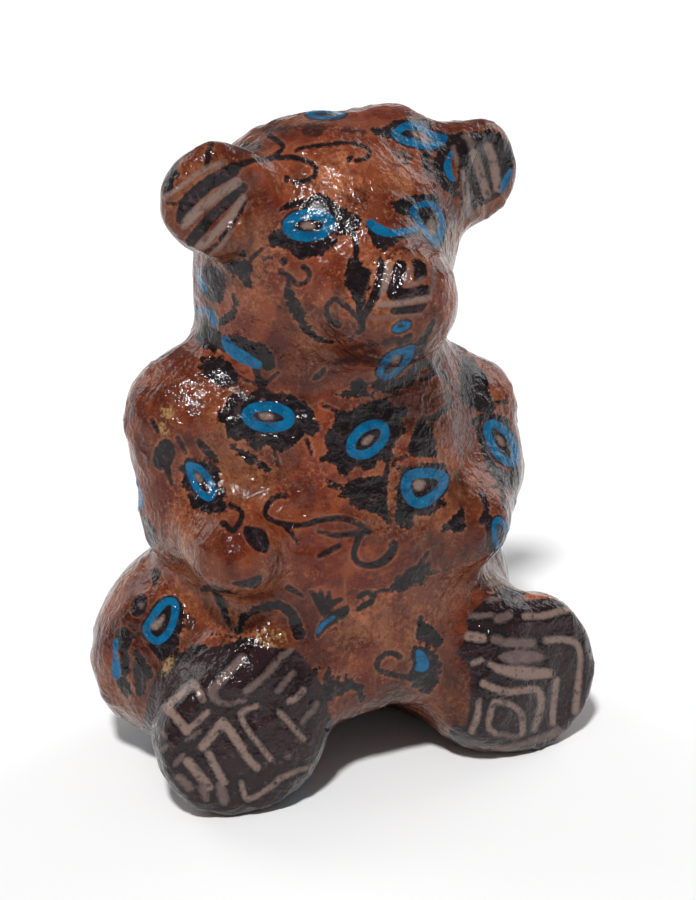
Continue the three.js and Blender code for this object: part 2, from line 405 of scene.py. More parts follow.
nosePrint = {
    "noseLineTop": line("faint", 3, (388, 260), (396, 254), (408, 250), (421, 253)),
    "nosePaleLeft": line("pale", 7.5, (389, 265, 5), (387, 276), (382, 294, 5)),
    "noseDarkLeft": line("ink", 14, (400, 267), (396, 284), (393, 292)),
    "noseDarkAcross": line("ink", 12, (393, 295), (410, 294), (424, 291)),
    "nosePaleCorner": line("faded", 5, (410, 268), (406, 282), (412, 285), (423, 279)),
    "noseSquare": shape("ink", (411, 261), (422, 261), (426, 270), (425, 279), (413, 282), (414, 270)),
    "nosePaleAcross": line("pale", 6, (378, 304), (394, 304), (411, 301), (429, 298)),
    "nosePaleRight": line("faded", 5, (431, 268), (433, 280), (431, 292)),
    "noseDarkLow": line("ink", 8, (394, 311), (416, 309), (426, 305, 4)),
    "nosePaleLow": line("faded", 3, (372, 318), (396, 317), (422, 315)),
    "chinRing": ring(oval("blue", 401.5, 326.5, 21, 10, -25), 3.5, 1.2),
    "chinDash": line("ink", 7, (398, 344, 4), (405, 339), (411, 334, 4)),
    "chinBare": oval("bare", 398, 321, 9, 3),
}

neckPrint = {
    "neckRing": ring(shape(
        "blue", (415, 345), (412, 357), (403, 369), (393, 378), (382, 379), (376, 372), (381, 361),
        (392, 352), (404, 348),
    ), 6.5),
    "neckDot": oval("pale", 395.5, 359.5, 10, 6, -35),
    "neckShadeRight": line("blot", 11, (427, 338, 6), (418, 350), (415, 368), (408, 380)),
    "neckShadeLow": line("blot", 13, (378, 384), (392, 386), (407, 381)),
    "neckStrandTop": line("faint", 6, (342, 352, 3), (367, 344), (389, 341), (404, 336, 3)),
    "neckStrandMiddle": line("faint", 5, (347, 356, 3), (374, 352)),
    "neckStrandLow": line("faint", 10, (335, 362, 4), (354, 358), (381, 362)),
    "neckLeaf": line("ink", 6, (314, 378, 3), (319, 374), (325, 368, 3)),
    "neckMottle": oval("blot", 359, 386, 18, 15),
    "neckMottleLow": line("blot", 7, (337, 394, 4), (355, 393), (374, 395, 5)),
    "neckTendril": line("ink", 6, (433, 322), (428, 333), (422, 349), (422, 360), (430, 366), (437, 360)),
    "neckTendrilTail": line("ink", 4, (430, 367), (428, 376), (420, 380)),
    "neckTendrilBranch": line("ink", 4, (430, 374), (443, 373), (447, 382)),
    "napeRing": line("blue", 9, (199, 271, 6), (203, 281), (206, 289, 7)),
    "napeShade": shape(
        "blot", (203, 266), (212, 265), (222, 272), (225, 287), (221, 302), (212, 301), (205, 293),
        (209, 284),
    ),
    "napeArc": line("blue", 7.5, (199, 312), (206, 310), (212, 315), (214, 324)),
    "napeArcHole": oval("ink", 205, 321, 9, 11),
    "napeHook": line("blot", 6, (233, 294, 3), (235, 305), (230, 316, 8), (222, 321, 9)),
    "napeBar": line("blue", 12, (225, 340, 9), (231, 349), (244, 358), (258, 365, 8)),
    "napeBarShade": shape(
        "blot", (228, 333), (240, 336), (255, 342), (268, 349), (275, 361), (272, 370), (259, 367),
        (244, 355), (230, 342),
    ),
    "napeBlot": shape(
        "blot", (196, 331), (210, 326), (221, 334), (228, 350), (219, 351), (205, 349), (196, 342),
    ),
    "shoulderLeaf": shape(
        "blot", (196, 354), (206, 358), (221, 358), (232, 366), (239, 377), (236, 383), (226, 388),
        (215, 384), (204, 379), (197, 377), (204, 371), (196, 369), (202, 363),
    ),
    "collarStem": line("ink", 6, (255, 367), (258, 376), (261, 384, 8)),
    "collarBranchRight": line("ink", 4.5, (278, 373, 3), (266, 383), (262, 390, 8)),
    "collarBranchLeft": line("ink", 3, (238, 376), (255, 384)),
}

chestPrint = {
    "chestRing": ring(oval("blue", 268.5, 417, 54, 31, 5), 10),
    "chestDot": oval("pale", 267, 416.5, 17, 7, 5),
    "chestFlower": shape(
        "blot", (217, 411), (226, 405), (229, 396), (238, 393), (247, 397), (256, 390), (266, 389),
        (276, 393), (288, 391), (296, 399), (306, 403), (313, 411), (314, 419), (321, 426), (315, 435),
        (306, 435), (299, 441), (289, 449), (279, 451), (269, 446), (256, 450), (248, 442), (236, 440),
        (226, 435), (225, 425), (218, 419),
    ),
    "chestStemOne": line("ink", 4, (274, 446), (278, 466)),
    "chestStemTwo": line("ink", 4, (306, 438), (312, 454)),
    "leafUnder": line("blot", 10, (232, 447, 5), (247, 456), (272, 472, 5), tooth=8),
    "leafSide": line("ink", 8, (198, 440, 4), (206, 449), (216, 460, 5)),
    "dashSide": line("ink", 5, (208, 463), (219, 471)),
    "dashMiddle": line("ink", 4, (321, 404), (340, 413)),
    "secondRing": ring(oval("blue", 367.5, 439.5, 49, 33, -38), 9),
    "secondDot": oval("pale", 367, 440, 13, 7, -38),
    "secondFlower": shape(
        "blot", (333, 421), (337, 413), (349, 411), (358, 405), (369, 401), (380, 398), (389, 401),
        (395, 407), (404, 406), (408, 413), (402, 420), (406, 430), (400, 438), (395, 441), (393, 455),
        (388, 463), (379, 460), (372, 468), (364, 470), (356, 466), (348, 475), (339, 473), (332, 462),
        (321, 463), (321, 457), (328, 452), (324, 443), (327, 432),
    ),
    "secondStem": line("ink", 5, (388, 460), (387, 470), (384, 479)),
    "secondStemBranch": line("ink", 4, (387, 459), (397, 459), (407, 456)),
    "secondStemLow": line("ink", 4, (391, 463), (403, 472)),
    "leafBelow": shape(
        "blot", (328, 483), (340, 485), (350, 482), (363, 477), (377, 476), (388, 479), (388, 499),
        (387, 524), (377, 514), (366, 511), (353, 506), (348, 499), (337, 496), (343, 491), (330, 487),
    ),
    "bud": shape(
        "blot", (422, 414), (417, 425), (411, 438), (409, 452), (415, 458), (425, 458), (436, 456),
        (436, 446), (432, 432), (427, 424),
    ),
    "budTip": line("ink", 6, (428, 440), (432, 424, 2)),
    "collarCurve": line("ink", 6, (445, 393), (447, 405), (439, 413), (430, 419)),
    "shoulderMottle": shape(
        "blot", (458, 360), (470, 358), (481, 368), (487, 383), (494, 398), (493, 413), (476, 410),
        (460, 400), (461, 383),
    ),
    "shoulderDash": line("ink", 4, (487, 403), (507, 402)),
    "thirdRing": ring(shape(
        "blue", (401, 487), (406, 473), (424, 468), (444, 472), (448, 485), (436, 500), (420, 508),
        (407, 503),
    ), 10),
    "thirdDot": oval("pale", 419, 485, 12, 11),
    "thirdTail": shape(
        "blot", (400, 483), (396, 500), (394, 518), (400, 528), (410, 526), (416, 517), (430, 515),
        (443, 504), (440, 499), (420, 508), (405, 503),
    ),
    "thirdLid": line("ink", 4, (404, 470), (422, 465), (442, 466, 6)),
}

rightArmPrint = {
    "armRing": ring(oval("blue", 500.5, 443.5, 53, 28, 60), 8),
    "armDot": oval("pale", 499, 441, 13, 5, 60),
    "armShadeTop": line("blot", 9, (470, 421, 4), (488, 417), (506, 421)),
    "armShadeLeft": line("blot", 9, (478, 424), (482, 445), (490, 466)),
    "armShadeLow": shape("blot", (489, 462), (505, 472), (517, 462), (521, 480), (511, 490), (498, 486)),
    "armStem": line("ink", 5, (504, 482), (502, 495), (505, 509)),
    "armStemBranch": line("ink", 4, (493, 487), (504, 484)),
    "armStroke": line("ink", 6, (481, 494), (487, 507), (481, 522)),
    "armEdge": line("blot", 9, (514, 500), (512, 520)),
    "wristRing": ring(oval("blue", 501.5, 536, 39, 19, 76), 5.5),
    "wristShade": line("blot", 9, (489, 517), (490, 532), (494, 550)),
    "wristLeaf": shape("blot", (436, 528), (450, 518), (462, 509), (465, 520), (463, 531), (449, 530)),
}

leftArmPrint = {
    "sleeveRing": ring(shape(
        "blue", (187, 462), (197, 463), (207, 471), (214, 483), (216, 496), (209, 502), (199, 496),
        (191, 484), (187, 472),
    ), 6.5),
    "sleeveDot": oval("pale", 199, 478, 11, 6, 55),
    "sleeveShade": oval("blot", 203, 485, 40, 66, -32, petals=9, depth=0.22),
    "sleeveShadeLow": shape(
        "blot", (188, 495), (203, 492), (219, 494), (226, 506), (222, 515), (207, 511), (194, 508),
    ),
    "edgeBar": line("blue", 7, (134, 476, 4), (138, 492), (141, 507, 5)),
    "edgeOval": oval("ink", 165, 454, 20, 32, 12),
    "edgeOvalTail": line("ink", 4, (168, 468, 6), (172, 485, 3)),
    "edgeStem": line("ink", 4, (178, 437), (186, 452)),
    "wristCurl": line("ink", 5.5, (230, 505), (241, 512), (240, 522), (233, 531), (227, 526)),
    "wristBud": oval("ink", 224, 524.5, 8, 7),
    "wristWedge": shape("ink", (243, 528), (265, 531), (267, 552), (252, 548)),
    "handWedge": shape("ink", (232, 583), (247, 579), (262, 575), (260, 586), (247, 587)),
    "wristStroke": line("ink", 6, (204, 588), (215, 588), (236, 594, 3)),
    "wristDrop": line("ink", 7, (216, 591), (223, 610), (231, 629, 3)),
    "sleeveShadowLeaf": line("blot", 8, (143, 516, 4), (150, 530), (156, 545, 5), tooth=7),
    "sleeveDash": line("ink", 4, (152, 420), (158, 431)),
}

bellyPrint = {
    "bellyHook": line(
        "ink", 5.5, (287, 496), (277, 496), (269, 503), (265, 511), (269, 519), (283, 524), (303, 525),
        (321, 520), (342, 518), (357, 523), (368, 530, 3),
    ),
    "bellyHookBranch": line("ink", 5, (283, 524), (291, 534), (298, 544, 3)),
    "bellyLine": line("ink", 5, (317, 531, 3), (336, 535), (362, 532), (370, 531)),
    "bellyCurl": line(
        "ink", 6, (359, 536), (354, 549), (355, 560), (366, 565), (381, 562, 8), (391, 551, 8),
        (392, 543, 8),
    ),
    "bellyStroke": line("ink", 5, (319, 555), (340, 545)),
    "bellyDash": line("ink", 4, (327, 481), (340, 486)),
    "bellyLeaf": line("ink", 6, (288, 587), (303, 596, 3)),
    "fanOne": line("ink", 8, (324, 611), (318, 600), (311, 590, 3)),
    "fanTwo": line("ink", 7, (325, 610), (322, 600), (320, 588, 3)),
    "fanThree": line("ink", 7, (326, 610), (328, 601), (329, 591, 3)),
    "fanFour": line("ink", 6, (326, 611), (333, 602), (341, 599, 4)),
    "podBody": shape(
        "ink", (316, 636), (322, 619), (337, 608), (348, 605), (349, 612), (339, 620), (327, 628),
        (319, 637),
    ),
    "podBlue": line("blue", 4.5, (318, 632), (324, 623), (334, 616, 3)),
    "sideCurl": line("ink", 6, (359, 597), (367, 593), (373, 595), (372, 602), (366, 605), (359, 609)),
    "sprigStem": line("ink", 4, (378, 592), (389, 590)),
    "sprigBody": line("blot", 17, (391, 590, 6), (402, 583), (413, 575), (425, 568, 9), tooth=10),
    "sprigTipOne": line("ink", 6, (413, 572), (427, 551, 3)),
    "sprigTipTwo": line("ink", 6, (416, 574), (438, 571, 3)),
    "sprigTipThree": line("ink", 6, (410, 578), (425, 585, 3)),
    "hipDrop": line("ink", 8, (421, 618, 5), (419, 637)),
    "hipArc": line(
        "blot", 8, (238, 633, 6), (241, 622, 8), (251, 612), (262, 608), (279, 605), (292, 615, 11),
        (299, 633, 13),
    ),
    "hipThread": line("ink", 2.6, (207, 634), (222, 635), (236, 637)),
}

thighPrint = {
    "thighRing": ring(shape(
        "blue", (167, 598), (178, 600), (180, 611), (176, 627), (169, 638), (158, 645), (147, 640),
        (142, 629), (149, 617), (158, 605),
    ), 7.5),
    "thighDot": shape("pale", (150, 626), (158, 619), (165, 615), (162, 624), (155, 630)),
    "thighShade": shape(
        "blot", (180, 601), (186, 618), (181, 638), (175, 653), (162, 662), (151, 649), (142, 638),
        (158, 645), (172, 634),
    ),
    "thighWedge": shape("ink", (153, 570), (163, 570), (159, 582), (155, 590)),
    "thighLoop": oval("ink", 139.5, 605, 15, 24, 25),
    "thighLoopHeart": oval("faded", 141.5, 605.5, 5, 7, 25),
    "thighLink": line("ink", 3, (130, 638), (142, 632)),
    "sideBar": line("blue", 5, (115, 641), (116, 655), (117, 668, 9), (117, 676, 7)),
    "sideBarShade": shape(
        "blot", (114, 632), (122, 628), (131, 633), (131, 642), (128, 650), (129, 665), (127, 675),
        (121, 675), (121, 655), (116, 639),
    ),
    "sideBarTail": shape("blot", (118, 677), (128, 680), (131, 694), (125, 698), (119, 688)),
    "thighStripe": shape(
        "blot", (136, 650), (147, 663), (153, 674), (147, 681), (143, 694), (136, 692), (134, 672),
    ),
    "thighSmear": oval("faint", 190, 622, 10, 17),
    "apronHook": line(
        "ink", 5.5, (399, 656, 7), (393, 653), (383, 656), (377, 663), (380, 671), (393, 675), (407, 677),
    ),
    "apronBlue": shape(
        "blue", (416, 649), (423, 652), (428, 661), (427, 669), (420, 671), (412, 668), (417, 664),
        (415, 658),
    ),
    "apronShadeTop": shape("blot", (421, 618), (433, 629), (441, 641), (435, 647), (423, 640), (417, 636)),
    "apronShade": shape(
        "blot", (413, 646), (429, 649), (441, 662), (436, 686), (423, 692), (406, 678), (411, 668),
        (410, 657),
    ),
    "apronFern": shape(
        "blot", (320, 697), (322, 685), (330, 667), (334, 680), (339, 671), (342, 681), (347, 668),
        (349, 680), (356, 675), (355, 683), (364, 687), (354, 691), (343, 694), (334, 700), (325, 700),
    ),
    "apronDrop": line("blot", 6, (360, 690), (362, 700)),
    "apronTooth": line("blot", 8, (297, 684, 4), (308, 677), (319, 668, 3)),
    "kneeBlot": line("blot", 8, (178, 658), (190, 652), (203, 648)),
    "kneeBlotRight": line("blot", 9, (228, 647, 5), (240, 642), (250, 643)),
}

# The soles are papered with a dark sheet that carries a pale maze.
leftSolePrint = {
    "soleField": shape(
        "maze", (147, 706), (154, 680), (165, 662), (180, 656), (204, 649), (246, 641), (280, 648),
        (300, 653), (322, 686), (330, 724), (331, 752), (322, 784), (282, 806), (240, 822), (192, 810),
        (158, 780), (146, 742),
    ),
    "soleDiamondTop": line("pale", 7.5, (172, 702, 6), (184, 692), (194, 684), (203, 700, 6)),
    "soleDiamondLeft": line("pale", 8, (168, 708), (187, 731)),
    "soleDiamondRight": line("pale", 5.5, (188, 730), (198, 722), (208, 713)),
    "soleUnderDiamond": line("faded", 3.5, (187, 740), (200, 731)),
    "soleRoofLeft": line("pale", 8, (222, 723), (212, 736), (202, 747)),
    "soleRoofRight": line("pale", 8, (223, 722), (233, 735), (242, 748)),
    "soleWallLeft": line("pale", 7, (209, 754), (216, 768), (224, 782)),
    "soleWallRight": line("pale", 7, (245, 754), (257, 767)),
    "soleBentLine": line("pale", 4.5, (257, 706), (243, 711), (241, 716), (246, 727), (258, 743), (271, 759)),
    "soleBar": line("pale", 5, (279, 712), (291, 725), (302, 739)),
    "soleRimOne": line("faded", 5, (294, 673), (286, 682), (278, 690)),
    "soleRimTwo": line("pale", 5.5, (304, 690), (297, 697), (289, 701)),
    "soleRimThree": line("faded", 4, (317, 704), (309, 713), (302, 722)),
    "soleRimFour": line("faded", 5, (291, 650), (280, 658)),
    "soleTopBand": line("faded", 8, (242, 659), (232, 669), (218, 684), (211, 693), (219, 703, 5)),
    "soleTopHook": line("faded", 3, (216, 701), (228, 704), (245, 700)),
    "soleTopMiddle": line("faded", 6, (275, 664), (266, 675), (246, 691)),
    "soleDab": line("faded", 4, (183, 755), (176, 764)),
    "soleLowBar": line("pale", 9, (188, 762), (198, 774), (208, 786)),
    "soleLowLeft": line("faded", 7, (179, 777), (190, 787)),
    "soleLowThree": line("faded", 6, (202, 788), (206, 798)),
    "soleLowFour": line("faded", 9, (220, 786), (224, 800)),
    "soleLowCorner": line("pale", 4.5, (241, 782), (248, 799), (272, 784), (280, 776), (312, 765, 3)),
    "soleEdgeDash": line("faded", 3, (163, 750), (169, 745)),
    "soleEdgeStroke": line("faded", 3, (156, 724), (166, 736)),
    "soleSpot": oval("faded", 287, 755, 6, 5),
}

rightSolePrint = {
    "soleField": shape(
        "maze", (467, 622), (476, 608), (492, 595), (511, 583), (541, 586), (565, 591), (577, 608),
        (595, 639), (598, 655), (592, 689), (579, 715), (566, 740), (541, 757), (511, 761), (480, 760),
        (455, 752), (449, 735), (455, 722), (467, 722), (470, 671), (457, 653), (468, 634),
    ),
    "soleInnerTop": line("pale", 5, (494, 701), (505, 703), (515, 707), (522, 716), (522, 734)),
    "soleInnerLeft": line("pale", 5, (492, 706), (488, 725), (495, 733)),
    "soleInnerLow": line("faded", 4, (495, 734), (517, 736)),
    "soleSecond": line(
        "pale", 6.5, (483, 683), (496, 689), (510, 692), (533, 689), (540, 696), (539, 713),
        (534, 730, 4.5),
    ),
    "soleSecondLeft": line("pale", 5.5, (479, 700, 4), (477, 716), (472, 730)),
    "soleThird": line("pale", 11, (489, 663, 4), (499, 669, 8), (523, 673, 13), (549, 673, 8)),
    "soleThirdDab": line("pale", 4.5, (472, 663), (481, 660)),
    "soleThirdRight": line("pale", 6.5, (556, 680), (554, 700)),
    "soleThirdLow": line("pale", 6, (554, 703), (553, 724)),
    "soleFourthLeft": line("pale", 8.5, (468, 636), (482, 638)),
    "soleFourthTwo": line("faded", 7, (493, 639), (504, 642)),
    "soleFourthThree": line("faded", 8, (507, 643), (531, 643)),
    "soleFourth": line(
        "pale", 6, (544, 640), (563, 639), (574, 643), (579, 655, 4.5), (578, 683, 5), (575, 711, 6),
    ),
    "soleHaze": oval("faded", 521, 657, 44, 13),
    "soleFifthLeft": line("faded", 5, (471, 616), (492, 615)),
    "soleFifthTwo": line("faded", 8, (498, 619), (509, 615)),
    "soleFifth": line("pale", 6, (525, 616), (541, 616), (562, 611), (574, 611, 4)),
    "soleTopOne": line("faded", 5, (490, 599), (499, 598)),
    "soleTopTwo": line("faded", 4, (517, 599), (526, 597)),
    "soleTopOrange": line("warmLine", 6, (528, 596), (545, 596), (559, 599)),
    "soleLow": line("faded", 6, (456, 746, 4), (478, 748), (502, 750), (529, 742), (559, 732, 9)),
}

barePatches = {
    "crownLine": line("bare", 1.6, (404, 119), (440, 117)),
    "cheekGrain": line("bare", 3, (333, 254), (338, 250)),
    "armPatch": shape(
        "bare", (160, 405), (170, 403), (176, 412), (170, 424), (171, 436), (158, 432), (160, 418),
    ),
    "kneePatch": shape(
        "bare", (255, 632), (262, 626), (277, 627), (288, 636), (284, 647), (268, 649), (257, 644),
    ),
    "kneeCorner": shape("bare", (160, 676), (164, 662), (172, 655), (175, 664), (168, 675)),
    "elbowPatch": shape("bare", (483, 570), (497, 566), (504, 580), (490, 588)),
    "hipEdge": line("bare", 3, (417, 618), (416, 632)),
    "soleEdge": oval("bare", 457, 662, 3, 5),
}

photoPrint = [
    crownPrint, browPrint, leftEarPrint, rightEarPrint, eyePrint, cheekPrint, nosePrint, neckPrint,
    chestPrint, rightArmPrint, leftArmPrint, bellyPrint, thighPrint, leftSolePrint, rightSolePrint,
    barePatches,
]

# Groups of marks for the sides that the photograph doesn't show, drawn round a middle of their own.
looseSprays = {
    "ringFlower": [
        ring(oval("blue", 0, 0, 52, 32), 9.5),
        oval("pale", -1, 0, 15, 7),
        oval("blot", 0, 2, 96, 66, petals=12, depth=0.28),
        line("ink", 4.5, (2, 30), (4, 45), (-4, 58), (-16, 62)),
        line("ink", 4, (4, 45), (18, 52), (22, 62)),
    ],
    "dropFlower": [
        ring(shape("blue", (-26, -14), (-6, -14), (14, -6), (24, 8), (18, 19), (2, 18), (-14, 8)), 7.5),
        oval("pale", 2, 4, 13, 6, 25),
        shape(
            "blot", (-30, 2), (-12, 8), (0, 22), (18, 26), (32, 12), (28, -8), (38, 0), (44, 14), (30, 36),
            (8, 42), (-16, 30),
        ),
        line("ink", 5, (-30, -18), (-44, -22), (-54, -12), (-48, -2)),
    ],
    "hookTendril": [
        line("ink", 5, (-40, 6), (-22, -8), (0, -10), (22, -4), (36, 8), (30, 24), (16, 26), (10, 18)),
        oval("ink", 10, 16, 8, 7),
        line("ink", 4.5, (0, -10), (10, -24), (26, -28), (38, -22)),
        line("blot", 11, (-44, 12, 5), (-52, 26), (-50, 44, 4), tooth=8),
    ],
    "sprig": [
        line("ink", 4, (-30, 14), (-14, 6)),
        line("blot", 17, (-14, 6, 6), (0, 0), (14, -10), (24, -18, 6), tooth=9),
        line("ink", 6, (6, -8), (18, -34, 3)),
        line("ink", 6, (10, -6), (36, -8, 3)),
        line("ink", 5, (0, 2), (20, 14, 3)),
    ],
    "bar": [
        line("blue", 11, (-22, -6, 7), (-6, 4), (14, 8), (28, 6, 6)),
        shape("blot", (-30, 2), (-14, -12), (6, -16), (26, -12), (40, 0), (34, 18), (12, 24), (-12, 16)),
    ],
}


# A smooth run through given points, by Catmull-Rom, with whatever each point holds.
def runThrough(points, closed, steps=4):
    given = np.array(points, float)
    if len(given) < 3:
        return given
    before = np.roll(given, 1, axis=0) if closed else np.vstack([2 * given[0] - given[1], given[:-1]])
    after = np.roll(given, -1, axis=0) if closed else np.vstack([given[1:], 2 * given[-1] - given[-2]])
    slopes = (after - before) / 2
    run = []
    last = len(given) if closed else len(given) - 1
    for here in range(last):
        there = (here + 1) % len(given)
        for step in range(steps):
            t = step / steps
            run.append(
                (2 * t**3 - 3 * t**2 + 1) * given[here]
                + (t**3 - 2 * t**2 + t) * slopes[here]
                + (3 * t**2 - 2 * t**3) * given[there]
                + (t**3 - t**2) * slopes[there]
            )
    if not closed:
        run.append(given[-1])
    return np.array(run)


# Pixels from each place to a drawn line, negative inside it. Teeth make it saw-edged, like a leaf.
def awayFromLine(places, run, tooth):
    away = np.full(len(places), 1e3)
    travelled = 0
    for start, end in zip(run[:-1], run[1:]):
        along = end[:2] - start[:2]
        length = max(np.hypot(*along), 1e-6)
        offset = places - start[:2]
        share = np.clip(offset @ along / length**2, 0, 1)
        gap = np.hypot(*(offset - share[:, None] * along).T)
        half = (start[2] + (end[2] - start[2]) * share) / 2
        if tooth:
            half = half * (1.15 - 0.5 * ((travelled + share * length) / tooth % 1))
        away = np.minimum(away, gap - half)
        travelled += length
    return away


# Pixels from each place to a closed outline, negative inside it.
def awayFromOutline(places, run):
    gap = np.full(len(places), 1e3)
    inside = np.zeros(len(places), bool)
    across, down = places.T
    for start, end in zip(run, np.roll(run, -1, axis=0)):
        along = end - start
        offset = places - start
        share = np.clip(offset @ along / max(along @ along, 1e-9), 0, 1)
        gap = np.minimum(gap, np.hypot(*(offset - share[:, None] * along).T))
        if start[1] != end[1]:
            crosses = (start[1] > down) != (end[1] > down)
            inside ^= crosses & (across < start[0] + (down - start[1]) * along[0] / along[1])
    return np.where(inside, -gap, gap)


fieldNames = ("ink", "blot", "faint", "blue", "pale", "faded", "bare", "maze", "warmLine")
farAway = 30.0  # pixels, further than any edge is looked at


def emptyFields(count):
    return {name: np.full(count, farAway) for name in fieldNames}


# Adds one mark to the fields of the points that it can reach.
def printMark(fields, mark, places, among=None):
    run = runThrough(mark["points"], mark["closed"]) if not mark.get("sharp") else np.array(mark["points"])
    reach = farAway / 2 + (0 if mark["closed"] else run[:, 2].max() / 2)
    near = np.all((places > run[:, :2].min(0) - reach) & (places < run[:, :2].max(0) + reach), axis=1)
    if among is not None:
        near &= among
    chosen = np.flatnonzero(near)
    if not len(chosen):
        return
    if mark["closed"]:
        away = awayFromOutline(places[chosen], run)
    else:
        away = awayFromLine(places[chosen], run, mark["tooth"])

    def lower(name, value):
        fields[name][chosen] = np.minimum(fields[name][chosen], value)

    if "band" in mark:
        lower("blue", np.maximum(away, -away - mark["band"]))
        lower("ink", away - mark["rim"])
    elif mark["field"] == "hole":
        fields["blue"][chosen] = np.maximum(fields["blue"][chosen], -away)
    else:
        lower(mark["field"], away)


# The marks that the picture shows, on every point as the camera would see it.
def printFront(points):
    fields = emptyFields(len(points))
    places = pictureOf(points)
    for group in photoPrint:
        for mark in group.values():
            printMark(fields, mark, places)
    return fields


# Sprays set out in turn over the sides that the picture doesn't show.
def printBack(points, normals, among, seed=11):
    fields = emptyFields(len(points))
    chance = np.random.default_rng(seed)
    names = list(looseSprays)
    for number, centre in enumerate(scatter(points, skin["spraySpacing"], seed, among)):
        spray = looseSprays[names[number % len(names)]]
        facing = normals[centre]
        guess = chance.normal(size=3)
        across = np.cross(facing, guess)
        across /= np.linalg.norm(across)
        down = np.cross(facing, across)
        offset = points - points[centre]
        far = np.linalg.norm(offset, axis=1)
        flat = np.stack([offset @ across, offset @ down], axis=1)
        flat *= (far / np.maximum(np.hypot(*flat.T), 1e-6))[:, None]
        near = (far < skin["sprayReach"]) & (normals @ facing > -0.1)
        for mark in spray:
            printMark(fields, mark, flat / pixel * chance.uniform(*skin["sprayScale"]), near)
    return fields


# Points that the camera sees, found by a ray from each point towards it.
def seenPoints(points, normals):
    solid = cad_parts["bear"].data
    tree = BVHTree.FromPolygons([v.co for v in solid.vertices], [list(p.vertices) for p in solid.polygons])
    towards = np.array(eye) - points
    towards /= np.linalg.norm(towards, axis=1)[:, None]
    facing = (normals * towards).sum(1) > 0.02
    seen = np.zeros(len(points), bool)
    starts = points + normals * skin["rayStart"]
    for index in np.flatnonzero(facing):
        seen[index] = tree.ray_cast(starts[index], towards[index])[0] is None
    return seen


def storeField(mesh, name, values):
    attribute = mesh.attributes.new(name, "FLOAT", "POINT")
    attribute.data.foreach_set("value", values.astype(np.float32))


# The fine relief: pulp lumps, creases and the laps of the scraps, along the skin's own slope.
def reliefOf(points, scrap, tear, ranks):
    height = skin["lump"] * clouds(points, skin["lumpSize"], 1)
    height += skin["dent"] * clouds(points, skin["dentSize"], 2)
    ridge = 1 - np.abs(clouds(points, skin["wrinkleSize"], 3))
    crest = np.maximum(ridge - skin["wrinkleFrom"], 0) / (1 - skin["wrinkleFrom"])
    height += skin["wrinkle"] * crest * (clouds(points, skin["wrinklePatch"], 5) > -0.1)
    lift = np.where(ranks[scrap] > skin["lappedFrom"], 1.0, 0.0)
    height += skin["scrapStep"] * lift * np.exp(-tear / skin["scrapFade"])
    return height


def makeSkin():
    piece = bareSkin()
    mesh = piece.data
    edges = edgesOf(mesh)
    rough = pointsOf(mesh)
    grounded = rough[:, 2] < skin["groundBand"]
    points = smoothed(rough, edges, skin["smoothing"])
    points[grounded, 2] = 0
    placePoints(mesh, points)
    normals = normalsOf(mesh)
    print("skin has", len(points), "points")

    scrap, tear, ranks = tearScraps(points, normals)
    seen = seenPoints(points, normals)
    share = seen[:, None].astype(float)
    for _ in range(skin["seenRounds"]):
        share = neighbourMean(share, edges)
    front = share[:, 0] > skin["seenShare"]
    fields = printFront(points)
    hidden = printBack(points, normals, ~front)
    for name in fieldNames:
        values = np.where(front, fields[name], hidden[name])
        storeField(mesh, name, values * pixel / mm)
    storeField(mesh, "tear", tear / mm)
    storeField(mesh, "sheet", ranks[scrap])
    print("print laid out,", int(seen.sum()), "points seen")

    points = points + normals * reliefOf(points, scrap, tear, ranks)[:, None]
    points[:, 2] = np.maximum(points[:, 2], 0)
    points[grounded, 2] = 0
    placePoints(mesh, points)
    for face in mesh.polygons:
        face.use_smooth = True
    return piece


# One socket of a material, so that sums read as sums.
class Wire:
    def __init__(self, graph, socket):
        self.graph = graph
        self.socket = socket

    def sum(self, operation, *others):
        return self.graph.add("ShaderNodeMath", {"operation": operation}, dict(enumerate(others)))

    def __add__(self, other):
        return self.sum("ADD", self, other)

    def __sub__(self, other):
        return self.sum("SUBTRACT", self, other)

    def __rsub__(self, other):
        return self.sum("SUBTRACT", other, self)

    def __mul__(self, other):
        return self.sum("MULTIPLY", self, other)

    __radd__ = __add__
    __rmul__ = __mul__

    def least(self, other):
        return self.sum("MINIMUM", self, other)

    def most(self, other):
        return self.sum("MAXIMUM", self, other)

    def size(self):
        return self.sum("ABSOLUTE", self)

    # 1 where this distance is negative, 0 where it is positive, with an edge of the given softness
    def inside(self, softness=0.2):
        settings = {"operation": "MULTIPLY_ADD", "use_clamp": True}
        return self.graph.add("ShaderNodeMath", settings, {0: self, 1: -1 / softness, 2: 0.5})

    # 0 below the low value, 1 above the high one
    def between(self, low, high):
        settings = {"clamp": True}
        return self.graph.add("ShaderNodeMapRange", settings, {0: self, 1: low, 2: high, 3: 0, 4: 1})


